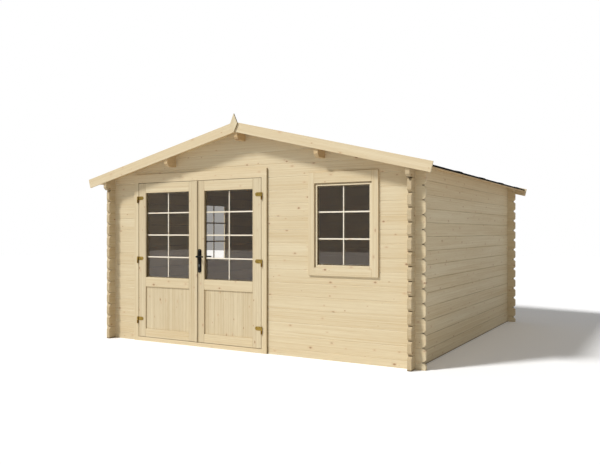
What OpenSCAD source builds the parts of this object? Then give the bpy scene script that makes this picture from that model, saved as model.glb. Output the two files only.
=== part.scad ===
// Garden shed of interlocking logs: gable roof along Y, double glazed door and
// two small-paned windows. The origin is on the ground under the middle of the
// floor, the door side faces -Y and +Z is up. All sizes are in millimetres.

/* [Footprint] */
// Width over the outer faces of the side walls
shed_w = 3800; // [3400:50:4400]
// Depth over the outer faces of the front and back walls
shed_d = 3800; // [3200:50:4400]

/* [Logs] */
// Height of one log course
log_h = 135; // [128:1:142]
// Thickness of a log
log_t = 40; // [34:1:50]
// Run of a log end past the wall that it crosses
end_run = 100; // [70:5:130]
// Chamfer above and below a log end
end_chamfer = 27; // [10:1:30]
// Depth of the V joint between two logs
joint_v = 4; // [2:0.5:6]
// Full courses in a side wall, under its top log
side_courses = 13; // [13:1:15]
// Height of a side wall's top log at its outer face
top_log_h = 122; // [110:1:130]

/* [Roof] */
// Pitch of the roof in degrees
pitch = 13.7; // [11:0.1:18]
// Run of the roof boards past the side walls
eave_run = 185; // [140:5:240]
// Run of the fascia's outer face past the front and back walls
gable_run = 170; // [140:5:220]
// Thickness of the roof boards
roof_board_t = 19; // [15:1:26]
// Thickness of the roofing felt
felt_t = 5; // [3:0.5:8]
// Width of a fascia board
fascia_w = 100; // [90:1:120]
// Thickness of a fascia board
fascia_t = 20; // [16:1:28]
// Height of the fascia's top edge above the felt
fascia_rise = 35; // [15:1:45]
// The same height on the back fascia
back_rise = 18; // [10:1:45]
// Run of a fascia board past the roof boards at the eaves
fascia_run = 26; // [10:1:60]
// Width of a purlin
purlin_w = 44; // [38:1:60]
// Depth of a purlin below the roof boards
purlin_d = 122; // [95:1:135]
// Distance from the ridge to a side purlin
purlin_x = 945; // [800:5:1100]
// Chamfer under the ends of a purlin
purlin_chamfer = 30; // [10:1:50]

/* [Finial] */
// Width of the finial
finial_w = 90; // [60:1:120]
// Height of the finial
finial_h = 192; // [160:1:260]
// Height of its widest place above its lower tip
finial_shoulder = 90; // [60:1:110]
// Thickness of the finial
finial_t = 15; // [12:1:28]

/* [Door] */
// Middle of the doorway, from the middle of the front wall
door_x = -618; // [-700:1:-560]
// Width over both leaves
door_w = 1698; // [1500:1:1760]
// Height of the sill
sill_h = 45; // [35:1:50]
// Thickness of a leaf
leaf_t = 40; // [36:1:45]
// Gap between a leaf and its frame
leaf_gap = 5; // [5:0.5:8]
// Gap between the two leaves
meet_gap = 8; // [8:0.5:12]
// Shift of the meeting gap towards the right leaf
meet_shift = 21; // [10:1:30]
// Width of the stiles on the hinge side
stile_w = 106; // [90:1:125]
// Distance from the middle of the doorway to the glass
centre_stile = 106; // [95:1:125]
// Height of the top rail
top_rail_h = 112; // [90:1:130]
// Height of the rail under the glass
mid_rail_h = 110; // [90:1:130]
// Height of the bottom rail
bottom_rail_h = 95; // [80:1:140]
// Height of the lower panel
panel_h = 485; // [400:1:560]
// Thickness of the lower panel
panel_t = 14; // [10:1:20]
// Depth of the glass behind a leaf's face
leaf_glass_inset = 32; // [12:1:32]
// Width of the strip over the meeting edges
strip_w = 30; // [20:1:36]
// Thickness of that strip
strip_t = 12; // [8:1:16]

/* [Door frame] */
// Width of a jamb's outer face
jamb_w = 63; // [55:1:80]
// Height of the header's outer face
header_h = 95; // [85:1:100]
// How far the frames stand out from the logs
frame_proud = 20; // [14:1:26]
// How far the frames stand into the room
frame_inner = 20; // [12:1:24]
// Lap of the jambs over the log ends
jamb_lap = 35; // [25:1:40]
// Lap of the header over the log above it
header_lap = 45; // [30:1:55]
// Width of the stop behind the leaves
stop_w = 15; // [10:1:20]

/* [Windows] */
// Middle of the front window, from the middle of the front wall
window_x = 1166; // [1120:1:1230]
// Middle of the left window, from the middle of the left wall
left_window_y = 55; // [-200:1:200]
// Width of the hole in the logs
window_w = 700; // [600:5:760]
// Courses that a window's hole is high
window_courses = 7; // [6:1:7]
// Lap of a casing over the logs at its sides and top
casing_lap = 27; // [20:1:40]
// Lap of a casing over the logs below it
casing_drop = 48; // [25:1:60]
// Width of a casing's sides
casing_side_w = 67; // [50:1:80]
// Height of a casing's top board
casing_top_h = 108; // [70:1:120]
// Height of a casing's bottom board
casing_bottom_h = 78; // [65:1:100]
// Width of a sash's stiles and rails
sash_w = 27; // [20:1:40]
// Thickness of a sash
sash_t = 33; // [30:1:40]
// Depth of a sash behind its casing's face
sash_inset = 13; // [10:1:26]
// Depth of the glass behind a sash's face
glass_inset = 25; // [8:1:25]
// Thickness of the glass
glass_t = 4; // [3:0.5:6]

/* [Hinges] */
// Height of the lowest hinge above the leaf's bottom
hinge_low = 206; // [150:1:260]
// Depth of the highest hinge below the leaf's top
hinge_high = 170; // [130:1:220]
// Distance of the hinge pin beyond the leaf's edge
hinge_out = 10; // [8:0.5:14]
// Distance of the hinge pin in front of the leaf's face
hinge_front = 9; // [8.5:0.5:12]
// Length of a strap from the pin
strap_l = 82; // [60:1:100]
// Height of a strap
strap_h = 40; // [24:1:46]
// Thickness of a strap
strap_t = 3; // [2:0.5:4]
// Radius of a strap's eye
eye_r = 8; // [6.5:0.25:8.25]
// Radius of a hinge pin
pin_r = 4; // [3:0.25:4.5]
// Height of the pin's body under the eye
pin_body_h = 36; // [26:1:46]

/* [Handle] */
// Distance of the spindle from the right leaf's meeting edge
handle_inset = 23; // [23:1:34]
// Height of the spindle above the ground
handle_z = 990; // [900:5:1060]
// Width of a handle plate
plate_w = 44; // [38:1:45]
// Height of a handle plate
plate_h = 257; // [220:1:280]
// Height of the spindle above the plate's lower end
plate_below = 175; // [140:1:190]
// Thickness of a handle plate in the middle
plate_t = 12; // [8:0.5:14]
// Thickness of a handle plate at its edges
plate_edge = 4; // [3:0.5:6]
// Length of a lever from the spindle
lever_l = 94; // [80:1:115]
// Radius of a lever
lever_r = 8; // [6:0.5:10]
// Reach of the outer lever's middle from its plate
outer_reach = 50; // [40:1:56]
// Reach of the inner lever's middle from its plate
inner_reach = 34; // [30:1:35]
// Radius of the hub that joins a lever to its spindle
hub_r = 10; // [8:0.5:11]
// Radius of the spindle
spindle_r = 5; // [4:0.5:6]

/* [Floor] */
// Height of a floor bearer
bearer_h = 44; // [38:1:60]
// Width of a floor bearer
bearer_w = 60; // [44:1:80]
// Number of floor bearers
bearer_count = 7; // [5:1:11]
// Thickness of the floor boards
floor_t = 19; // [16:1:26]
// Gap round the floor boards
floor_gap = 26; // [25:1:40]

/* [Hidden] */
$fn = 48;
eps = 1;
pin_clear = 0.05;
part_clear = 0.5;

front_y = -shed_d / 2;
side_x = shed_w / 2;
inner_x = side_x - log_t;
inner_y = shed_d / 2 - log_t;

// The underside of the roof boards rests on the side walls' top logs
top_joint = side_courses * log_h;
eaves_h = top_joint + top_log_h;
ridge_z = eaves_h + side_x * tan(pitch);
roof_half = shed_d / 2 + gable_run - fascia_t;
board_edge = side_x + eave_run;
fascia_edge = board_edge + fascia_run;
felt_top = roof_board_t + felt_t;

// Log joints: side walls on whole courses, front and back on half courses
side_joints = [for (k = [1 : side_courses]) k * log_h];
gable_joints = [for (z = [log_h / 2 : log_h : ridge_z - log_h / 4]) z];
front_split = (side_courses + 0.5) * log_h;

// Doorway and leaves, measured from the middle of the doorway
leaf_bottom = sill_h + leaf_gap;
leaf_top = front_split;
leaf_h = leaf_top - leaf_bottom;
leaf_edge = door_w / 2;
meet_left = meet_shift - meet_gap / 2;
meet_right = meet_shift + meet_gap / 2;
glass_edge = leaf_edge - stile_w;
panel_bottom = leaf_bottom + bottom_rail_h;
glass_bottom = panel_bottom + panel_h + mid_rail_h;
glass_top = leaf_top - top_rail_h;
jamb_in = leaf_edge + leaf_gap;
jamb_out = jamb_in + jamb_w;
header_z = leaf_top + leaf_gap;
doorway_half = jamb_out - jamb_lap;
doorway_top = header_z + header_h - header_lap;
stop_y = leaf_t - frame_proud + leaf_gap;
frame_back = log_t + frame_inner;
leaf_mid_y = leaf_t / 2 - frame_proud;

// Window hole and casing, measured from the middle of the hole's lower edge
window_h = window_courses * log_h;
left_window_z = top_joint - window_h;
front_window_z = front_split - window_h;
casing_half = window_w / 2 + casing_lap;
sash_half = casing_half - casing_side_w;
sash_bottom = casing_bottom_h - casing_drop;
sash_top = window_h + casing_lap - casing_top_h;
sash_y = sash_inset - frame_proud;

// Hinges and handle, measured from the middle of the doorway
hinge_x = leaf_edge + hinge_out;
hinge_y = -frame_proud - hinge_front;
hinge_lowest = leaf_bottom + hinge_low;
hinge_highest = leaf_top - hinge_high;
hinge_heights = [hinge_lowest, (hinge_lowest + hinge_highest) / 2, hinge_highest];
handle_x = meet_right + handle_inset;

floor_top = bearer_h + floor_t;
bearer_last = inner_y - floor_gap - bearer_w / 2;
bearer_pitch = 2 * bearer_last / (bearer_count - 1);

log_colour = "#e6d4aa";
joinery_colour = "#e2cda2";
board_colour = "#e4d1a6";
felt_colour = "#1f1d1b";
glass_colour = "#5b524a";
brass_colour = "#b3924a";
iron_colour = "#24211f";

// Height of the roof boards' underside at a distance from the ridge
function under_roof(x) = ridge_z - abs(x) * tan(pitch);

// A point at a height above the roof boards' underside, square to the slope
function slope_point(x, up) = [x + up * sin(pitch), under_roof(x) + up * cos(pitch)];

// The same height above the underside, on the plumb cut at the ridge
function ridge_point(up) = [0, ridge_z + up / cos(pitch)];

// Outline of a stack of logs across its thickness, with a V at each joint
function stack_outline(joints, top) = concat(
    [[0, 0]],
    [for (z = joints) each [[0, z - joint_v], [joint_v, z], [0, z + joint_v]]],
    [[0, top], [log_t, top]],
    [for (i = [len(joints) - 1 : -1 : 0]) let (z = joints[i])
        each [[log_t, z + joint_v], [log_t - joint_v, z], [log_t, z - joint_v]]],
    [[log_t, 0]]);

// Right-hand end of a stack of logs: each end is chamfered above and below
function stack_end(joints, top, reach) = concat(
    [[reach, 0]],
    [for (z = joints) each [[reach, z - end_chamfer], [reach - end_chamfer, z],
        [reach, z + end_chamfer]]],
    [[reach, top]]);

function mirrored(points) = [for (i = [len(points) - 1 : -1 : 0]) [-points[i][0], points[i][1]]];

// Stand an outline drawn in X and Z up and give it a depth along +Y from y
module upright(y, depth) {
    translate([0, y + depth, 0]) rotate([90, 0, 0]) linear_extrude(depth) children();
}

// Carry an outline drawn in Y and Z along X, from x over a length
module along_x(x, length) {
    translate([x, 0, 0]) rotate([90, 0, 90]) linear_extrude(length) children();
}

// Everything below the roof boards, from front to back
module below_roof() {
    half = [[board_edge, 0], slope_point(board_edge, 0)];
    upright(-roof_half, 2 * roof_half)
        polygon(concat(half, [ridge_point(0)], mirrored(half)));
}

// A gable wall's logs, with the outer face at y = 0 and the room towards +Y
module gable_logs() {
    reach = side_x + end_run;
    ends = stack_end(gable_joints, ridge_z, reach);
    intersection() {
        along_x(-reach, 2 * reach) polygon(stack_outline(gable_joints, ridge_z));
        upright(0, log_t) polygon(concat(ends, mirrored(ends)));
    }
}

// The half of each crossing that a gable wall leaves to the side walls
module side_halves(y) {
    for (x = [-side_x, inner_x], k = [0 : side_courses])
        translate([x, y, (k + 0.25) * log_h]) cube([log_t, log_t, log_h / 2]);
}

// The half of each crossing that a side wall leaves to the gable walls
module gable_halves(x) {
    for (y = [front_y, inner_y]) {
        translate([x, y, -log_h / 4]) cube([log_t, log_t, log_h / 2]);
        for (k = [1 : side_courses])
            translate([x, y, (k - 0.25) * log_h]) cube([log_t, log_t, log_h / 2]);
        translate([x, y, (side_courses + 0.75) * log_h]) cube([log_t, log_t, log_h]);
    }
}

// The whole front wall inside a box in X and Z, without its openings
module front_logs(x0, x1, z0, z1) {
    difference() {
        intersection() {
            translate([0, front_y, 0]) gable_logs();
            below_roof();
            translate([x0, front_y - eps, z0]) cube([x1 - x0, log_t + 2 * eps, z1 - z0]);
        }
        side_halves(front_y);
    }
}

// A side wall's elevation in Y and Z: its full courses, or its longer top log
course_reach = shed_d / 2 + end_run;
course_joints = [for (k = [1 : side_courses - 1]) k * log_h];
course_ends = concat(stack_end(course_joints, top_joint - end_chamfer, course_reach),
    [[course_reach - end_chamfer, top_joint]]);
top_log_ends = [[roof_half - end_chamfer, top_joint], [roof_half, top_joint + end_chamfer],
    [roof_half, ridge_z]];

// A side wall with its outer face at x, ends as given, cut to a box in Y and Z
module side_wall(x, ends, y0, y1, z0, z1) {
    difference() {
        intersection() {
            translate([x, roof_half, 0]) rotate([90, 0, 0]) linear_extrude(2 * roof_half)
                polygon(stack_outline(side_joints, ridge_z));
            along_x(x, log_t) polygon(concat(ends, mirrored(ends)));
            below_roof();
            translate([x - eps, y0, z0]) cube([log_t + 2 * eps, y1 - y0, z1 - z0]);
        }
        gable_halves(x);
    }
}

module front_wall_left() {
    color(log_colour)
        front_logs(-shed_w, door_x - doorway_half, 0, front_split);
}

module front_wall_lower() {
    color(log_colour)
        front_logs(door_x + doorway_half, shed_w, 0, front_window_z);
}

module front_wall_middle() {
    color(log_colour)
        front_logs(door_x + doorway_half, window_x - window_w / 2, front_window_z, front_split);
}

module front_wall_right() {
    color(log_colour)
        front_logs(window_x + window_w / 2, shed_w, front_window_z, front_split);
}

// Logs over the doorway and window, notched for the door's header and the purlins
module front_gable() {
    color(log_colour) difference() {
        front_logs(-shed_w, shed_w, front_split, ridge_z);
        translate([door_x - doorway_half, front_y - eps, 0])
            cube([2 * doorway_half, log_t + 2 * eps, doorway_top]);
        ridge_beam();
        side_beams();
    }
}

module back_wall() {
    color(log_colour) difference() {
        intersection() {
            translate([0, inner_y, 0]) gable_logs();
            below_roof();
        }
        side_halves(inner_y);
        ridge_beam();
        side_beams();
    }
}

module right_wall() {
    color(log_colour)
        side_wall(inner_x, concat(course_ends, top_log_ends), -shed_d, shed_d, 0, ridge_z);
}

module left_wall_lower() {
    color(log_colour)
        side_wall(-side_x, course_ends, -shed_d, shed_d, 0, left_window_z);
}

module left_wall_front() {
    color(log_colour)
        side_wall(-side_x, course_ends, -shed_d, left_window_y - window_w / 2, left_window_z, top_joint);
}

module left_wall_rear() {
    color(log_colour)
        side_wall(-side_x, course_ends, left_window_y + window_w / 2, shed_d, left_window_z, top_joint);
}

module left_wall_top() {
    color(log_colour)
        side_wall(-side_x, top_log_ends, -shed_d, shed_d, top_joint, ridge_z);
}

// A beam along Y from fascia to fascia, chamfered under both ends
module beam(x) {
    bottom = under_roof(x) - purlin_d;
    ends = [[roof_half - purlin_chamfer, bottom], [roof_half, bottom + purlin_chamfer],
        [roof_half, ridge_z + purlin_d]];
    intersection() {
        along_x(x - purlin_w / 2, purlin_w) polygon(concat(ends, mirrored(ends)));
        below_roof();
    }
}

module ridge_beam() {
    beam(0);
}

module side_beams() {
    beam(-purlin_x);
    beam(purlin_x);
}

module ridge_purlin() {
    color(board_colour) ridge_beam();
}

module side_purlins() {
    color(board_colour) side_beams();
}

// Half of the roof's section between two heights above the boards' underside
function slope_outline(edge, low, high) = [ridge_point(low), slope_point(edge, low),
    slope_point(edge, high), ridge_point(high)];

module roof_boards_right() {
    color(board_colour) upright(-roof_half, 2 * roof_half)
        polygon(slope_outline(board_edge, 0, roof_board_t));
}

module roof_boards_left() {
    color(board_colour) upright(-roof_half, 2 * roof_half)
        polygon(mirrored(slope_outline(board_edge, 0, roof_board_t)));
}

// One sheet folded over the ridge, down to both eaves
module roof_felt() {
    half = [slope_point(board_edge, felt_top), slope_point(board_edge, roof_board_t)];
    color(felt_colour) upright(-roof_half, 2 * roof_half)
        polygon(concat([ridge_point(felt_top)], half, [ridge_point(roof_board_t)],
            mirrored(half)));
}

module fascia(outline, y) {
    color(board_colour) upright(y, fascia_t) polygon(outline);
}

// A fascia's outline, whose top edge is the given rise above the felt
function fascia_outline(rise) =
    slope_outline(fascia_edge, felt_top + rise - fascia_w, felt_top + rise);

module front_fascia_right() {
    fascia(fascia_outline(fascia_rise), -roof_half - fascia_t);
}

module front_fascia_left() {
    fascia(mirrored(fascia_outline(fascia_rise)), -roof_half - fascia_t);
}

module back_fascia_right() {
    fascia(fascia_outline(back_rise), roof_half);
}

module back_fascia_left() {
    fascia(mirrored(fascia_outline(back_rise)), roof_half);
}

// Kite-shaped boards over the joints of the fascias, front and back
module finials() {
    kite = [[0, 0], [finial_w / 2, finial_shoulder], [0, finial_h], [-finial_w / 2, finial_shoulder]];
    color(board_colour)
        for (end = [[-roof_half - fascia_t - finial_t, fascia_rise], [roof_half + fascia_t, back_rise]])
            translate(ridge_point(felt_top + end[1] - fascia_w)[1] * [0, 0, 1])
                upright(end[0], finial_t) translate([0, -fascia_t / 4]) polygon(kite);
}

// A jamb's plan: a channel over the log ends, with a stop behind the leaf
module jamb() {
    color(joinery_colour) linear_extrude(header_z)
        polygon([[0, -frame_proud], [jamb_w, -frame_proud], [jamb_w, 0],
            [jamb_w - jamb_lap, 0], [jamb_w - jamb_lap, log_t], [jamb_w, log_t],
            [jamb_w, frame_back], [-stop_w, frame_back], [-stop_w, stop_y], [0, stop_y]]);
}

module in_doorway() {
    translate([door_x, front_y, 0]) children();
}

module door_jamb_right() {
    in_doorway() translate([jamb_in, 0, 0]) jamb();
}

module door_jamb_left() {
    in_doorway() mirror([1, 0, 0]) translate([jamb_in, 0, 0]) jamb();
}

// Boards outside and inside the log above the doorway, joined under it, and a stop
module door_header() {
    stop_half = jamb_in - stop_w;
    color(joinery_colour) in_doorway() {
        for (board = [[-frame_proud, frame_proud], [log_t, frame_inner]])
            translate([-jamb_out, board[0], header_z]) cube([2 * jamb_out, board[1], header_h]);
        translate([-doorway_half, -eps, header_z])
            cube([2 * doorway_half, log_t + 2 * eps, doorway_top - header_z]);
        translate([-stop_half, stop_y, header_z - stop_w])
            cube([2 * stop_half, frame_back - stop_y, stop_w]);
    }
}

module door_sill() {
    stop_half = jamb_in - stop_w;
    color(joinery_colour) in_doorway() {
        translate([-jamb_in, -frame_proud, 0]) cube([2 * jamb_in, frame_proud + stop_y, sill_h]);
        translate([-stop_half, stop_y, 0]) cube([2 * stop_half, frame_back - stop_y, sill_h]);
    }
}

// A leaf's stiles and rails round its glass and panel, from x0 to x1
module leaf(x0, x1, open0, open1) {
    color(joinery_colour) in_doorway() difference() {
        translate([x0, -frame_proud, leaf_bottom]) cube([x1 - x0, leaf_t, leaf_h]);
        translate([open0, -frame_proud - eps, panel_bottom])
            cube([open1 - open0, leaf_t + 2 * eps, panel_h]);
        translate([open0, -frame_proud - eps, glass_bottom])
            cube([open1 - open0, leaf_t + 2 * eps, glass_top - glass_bottom]);
        if (x1 > handle_x && x0 < handle_x)
            translate([handle_x, -frame_proud - eps, handle_z]) rotate([-90, 0, 0])
                cylinder(r = hub_r, h = leaf_t + 2 * eps);
    }
}

module left_door_leaf() {
    leaf(-leaf_edge, meet_left, -glass_edge, -centre_stile);
}

module right_door_leaf() {
    leaf(meet_right, leaf_edge, centre_stile, glass_edge);
}

// A sheet that fills a leaf's opening from x0 and z0, at a depth behind the leaf's face
module leaf_filling(x0, z0, height, inset, thick) {
    in_doorway() translate([x0, inset - frame_proud, z0])
        cube([glass_edge - centre_stile, thick, height]);
}

module lower_panel(x0) {
    color(joinery_colour) leaf_filling(x0, panel_bottom, panel_h, (leaf_t - panel_t) / 2, panel_t);
}

module left_door_panel() {
    lower_panel(-glass_edge);
}

module right_door_panel() {
    lower_panel(centre_stile);
}

module leaf_glass(x0) {
    color(glass_colour)
        leaf_filling(x0, glass_bottom, glass_top - glass_bottom, leaf_glass_inset, glass_t);
}

module left_door_glass() {
    leaf_glass(-glass_edge);
}

module right_door_glass() {
    leaf_glass(centre_stile);
}

// Strip on the left leaf, flush with its meeting edge
module door_cover_strip() {
    color(joinery_colour) in_doorway()
        translate([meet_left - strip_w, -frame_proud - strip_t, leaf_bottom])
            cube([strip_w, strip_t, leaf_h]);
}

// Pin that a strap's eye turns on, with a stem that screws into the jamb
module hinge_pin() {
    body_top = -strap_h / 2 - part_clear;
    body_r = eye_r - part_clear;
    stem_r = pin_r + part_clear;
    translate([0, 0, body_top - pin_body_h]) cylinder(r = body_r, h = pin_body_h);
    translate([0, 0, body_top - eps]) cylinder(r = pin_r, h = strap_h + eps);
    translate([0, 0, body_top - pin_body_h / 2]) rotate([-90, 0, 0])
        cylinder(r = stem_r, h = hinge_front);
}

module hinge_pins() {
    color(brass_colour) in_doorway()
        for (x = [-hinge_x, hinge_x], z = hinge_heights)
            translate([x, hinge_y, z]) hinge_pin();
}

// Strap on a leaf's face, round at its tip, running towards +X from its eye
module strap() {
    difference() {
        union() {
            translate([0, 0, -strap_h / 2]) cylinder(r = eye_r, h = strap_h);
            translate([0, hinge_front - strap_t, -strap_h / 2])
                cube([strap_l - strap_h / 2, strap_t, strap_h]);
            translate([strap_l - strap_h / 2, hinge_front - strap_t, 0]) rotate([-90, 0, 0])
                cylinder(r = strap_h / 2, h = strap_t);
        }
        translate([0, 0, -strap_h / 2 - eps]) cylinder(r = pin_r + pin_clear, h = strap_h + 2 * eps);
    }
}

module left_door_straps() {
    color(brass_colour) in_doorway()
        for (z = hinge_heights) translate([-hinge_x, hinge_y, z]) strap();
}

module right_door_straps() {
    color(brass_colour) in_doorway()
        for (z = hinge_heights) translate([hinge_x, hinge_y, z]) mirror([1, 0, 0]) strap();
}

// Long plate with round ends, domed across its width, and a hole for the spindle.
// Its crown is at y = 0 and its flat back faces +Y
module handle_plate() {
    low = -plate_below;
    half = plate_w / 2;
    dome = plate_t - plate_edge;
    dome_r = (half * half + dome * dome) / (2 * dome);
    difference() {
        intersection() {
            upright(0, plate_t) union() {
                translate([-half, low + half]) square([plate_w, plate_h - plate_w]);
                translate([0, low + half]) circle(half);
                translate([0, low + plate_h - half]) circle(half);
            }
            translate([0, dome_r, low - eps]) cylinder(r = dome_r, h = plate_h + 2 * eps);
        }
        translate([0, -eps, 0]) rotate([-90, 0, 0])
            cylinder(r = spindle_r + pin_clear, h = plate_t + 2 * eps);
    }
}

module at_spindle() {
    in_doorway() translate([handle_x, leaf_mid_y, handle_z]) children();
}

module handle_plates() {
    color(iron_colour) at_spindle() {
        for (side = [0, 1]) mirror([0, side, 0])
            translate([0, -leaf_t / 2 - plate_t, 0]) handle_plate();
    }
}

// Hub and lever on the -Y side, the lever's middle at a reach from the plate
module lever(reach) {
    translate([0, -leaf_t / 2 - plate_t - reach, 0]) {
        rotate([-90, 0, 0]) cylinder(r = hub_r, h = reach - part_clear);
        sphere(hub_r);
        rotate([0, 90, 0]) cylinder(r = lever_r, h = lever_l - lever_r);
        translate([lever_l - lever_r, 0, 0]) sphere(lever_r);
    }
}

// Two levers on one spindle, both pointing away from the meeting edge
module handle_lever() {
    plates_t = leaf_t + 2 * plate_t;
    color(iron_colour) at_spindle() {
        translate([0, -plates_t / 2 - outer_reach, 0]) rotate([-90, 0, 0])
            cylinder(r = spindle_r, h = outer_reach + plates_t + inner_reach);
        lever(outer_reach);
        mirror([0, 1, 0]) lever(inner_reach);
    }
}

// A window casing's boards, outside and inside, and the lining between them
module window_casing() {
    color(joinery_colour) difference() {
        union() {
            for (side = [[-frame_proud, frame_proud], [log_t, frame_inner]])
                translate([-casing_half, side[0], -casing_drop])
                    cube([2 * casing_half, side[1], window_h + casing_lap + casing_drop]);
            translate([-window_w / 2, -eps, 0]) cube([window_w, log_t + 2 * eps, window_h]);
        }
        translate([-sash_half, -frame_proud - eps, sash_bottom])
            cube([2 * sash_half, frame_proud + frame_back + 2 * eps, sash_top - sash_bottom]);
    }
}

module window_sash() {
    color(joinery_colour) difference() {
        translate([-sash_half, sash_y, sash_bottom])
            cube([2 * sash_half, sash_t, sash_top - sash_bottom]);
        translate([sash_w - sash_half, sash_y - eps, sash_bottom + sash_w])
            cube([2 * (sash_half - sash_w), sash_t + 2 * eps, sash_top - sash_bottom - 2 * sash_w]);
    }
}

module window_glass() {
    color(glass_colour)
        translate([sash_w - sash_half, sash_y + glass_inset, sash_bottom + sash_w])
            cube([2 * (sash_half - sash_w), glass_t, sash_top - sash_bottom - 2 * sash_w]);
}

module in_front_wall() {
    translate([window_x, front_y, front_window_z]) children();
}

module in_left_wall() {
    translate([-side_x, left_window_y, left_window_z]) rotate([0, 0, -90]) children();
}

module front_window_casing() {
    in_front_wall() window_casing();
}

module front_window_sash() {
    in_front_wall() window_sash();
}

module front_window_glass() {
    in_front_wall() window_glass();
}

module left_window_casing() {
    in_left_wall() window_casing();
}

module left_window_sash() {
    in_left_wall() window_sash();
}

module left_window_glass() {
    in_left_wall() window_glass();
}

module floor_boards() {
    half_x = inner_x - floor_gap;
    half_y = inner_y - floor_gap;
    color(board_colour) translate([-half_x, -half_y, bearer_h])
        cube([2 * half_x, 2 * half_y, floor_t]);
}

module floor_bearers() {
    color(board_colour)
        for (k = [0 : bearer_count - 1])
            translate([-inner_x, k * bearer_pitch - bearer_last - bearer_w / 2, 0])
                cube([2 * inner_x, bearer_w, bearer_h]);
}

front_wall_left();
front_wall_lower();
front_wall_middle();
front_wall_right();
front_gable();
back_wall();
right_wall();
left_wall_lower();
left_wall_front();
left_wall_rear();
left_wall_top();
ridge_purlin();
side_purlins();
roof_boards_left();
roof_boards_right();
roof_felt();
front_fascia_left();
front_fascia_right();
back_fascia_left();
back_fascia_right();
finials();
door_jamb_left();
door_jamb_right();
door_header();
door_sill();
left_door_leaf();
left_door_panel();
left_door_glass();
door_cover_strip();
right_door_leaf();
right_door_panel();
right_door_glass();
hinge_pins();
left_door_straps();
right_door_straps();
handle_plates();
handle_lever();
front_window_casing();
front_window_sash();
front_window_glass();
left_window_casing();
left_window_sash();
left_window_glass();
floor_boards();
floor_bearers();
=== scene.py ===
"""Looks of a garden shed around its solids: planed spruce logs, boarded door leaves,
small-paned windows, a boarded roof under felt, brass hinges and a black handle."""
import math

import bpy
import numpy as np
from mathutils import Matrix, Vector


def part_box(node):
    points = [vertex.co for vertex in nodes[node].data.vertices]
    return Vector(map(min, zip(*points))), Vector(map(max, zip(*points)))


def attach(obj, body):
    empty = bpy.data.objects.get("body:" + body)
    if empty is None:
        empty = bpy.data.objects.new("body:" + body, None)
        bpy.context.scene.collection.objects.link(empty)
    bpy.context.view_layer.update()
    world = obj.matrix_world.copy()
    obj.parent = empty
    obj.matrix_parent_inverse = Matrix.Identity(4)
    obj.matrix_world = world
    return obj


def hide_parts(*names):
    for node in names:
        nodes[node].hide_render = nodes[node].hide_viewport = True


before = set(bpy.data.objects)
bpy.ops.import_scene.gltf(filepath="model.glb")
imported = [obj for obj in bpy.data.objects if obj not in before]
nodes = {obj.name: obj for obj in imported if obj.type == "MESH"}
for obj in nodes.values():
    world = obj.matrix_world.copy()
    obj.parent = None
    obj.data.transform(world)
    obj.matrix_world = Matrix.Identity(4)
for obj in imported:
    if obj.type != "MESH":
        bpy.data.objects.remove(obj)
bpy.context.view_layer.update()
rng = np.random.default_rng(41)


def span(node):
    """A node's box as an array: lowest corner, highest corner."""
    return np.array([list(corner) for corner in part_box(node)])


# Shared sizes, in metres

X, Y, Z = 0, 1, 2
MM = 0.001
COURSE = 135 * MM
PITCH = math.radians(13.7)
ROOF_BOARD = 19 * MM

# A wall's outer face, the thickness of its logs and the tips of their ends are the front wall's
front_outside, front_inside = span("front_wall_lower")[:, Y]
WALL_FACE = -front_outside
LOG = front_inside - front_outside
LOG_TIP = -span("front_wall_left")[0, X]


# Shapes

RINGS = 4
HEAD_STEPS = 10

# A board's grain starts anywhere in 40 m of trunk, up to 50 mm to either side of the pith and 20 to 70 mm
# out from it
GRAIN_FROM = np.array([0, -0.05, 0.02])
GRAIN_TO = np.array([40, 0.05, 0.07])


def tube_faces(count, sides):
    """Faces of closed tubes that have four rings of points each, as two blocks: the quads from ring to
    ring, then the caps on all the first rings and on all the last ones."""
    ring = np.arange(sides)
    near = np.stack([ring, np.roll(ring, -1)], axis=1)
    step = sides * np.arange(RINGS - 1)[:, None, None]
    wall = np.concatenate([near + step, near[:, ::-1] + step + sides], axis=2).reshape(-1, 4)
    first = sides * RINGS * np.arange(count)[:, None]
    walls = (first[:, :, None] + wall).reshape(-1, 4)
    caps = np.concatenate([first + ring[::-1], first + sides * (RINGS - 1) + ring])
    return [walls, caps]


def eased_outline(half, ease):
    """Rectangles of the given half sizes, (n, 2), whose corners are arcs of three points: each
    corner's centre lies in from the corner by the ease, and the arc goes round it by 90 degrees."""
    corner = np.array([[1, 1], [-1, 1], [-1, -1], [1, -1]])
    angle = np.radians(np.arange(4)[:, None] * 90 + np.array([0, 45, 90]))
    arc = np.stack([np.cos(angle), np.sin(angle)], axis=-1)
    points = corner[:, None, :] * (half[:, None, None, :] - ease) + ease * arc
    return points.reshape(len(half), -1, 2)


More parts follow.
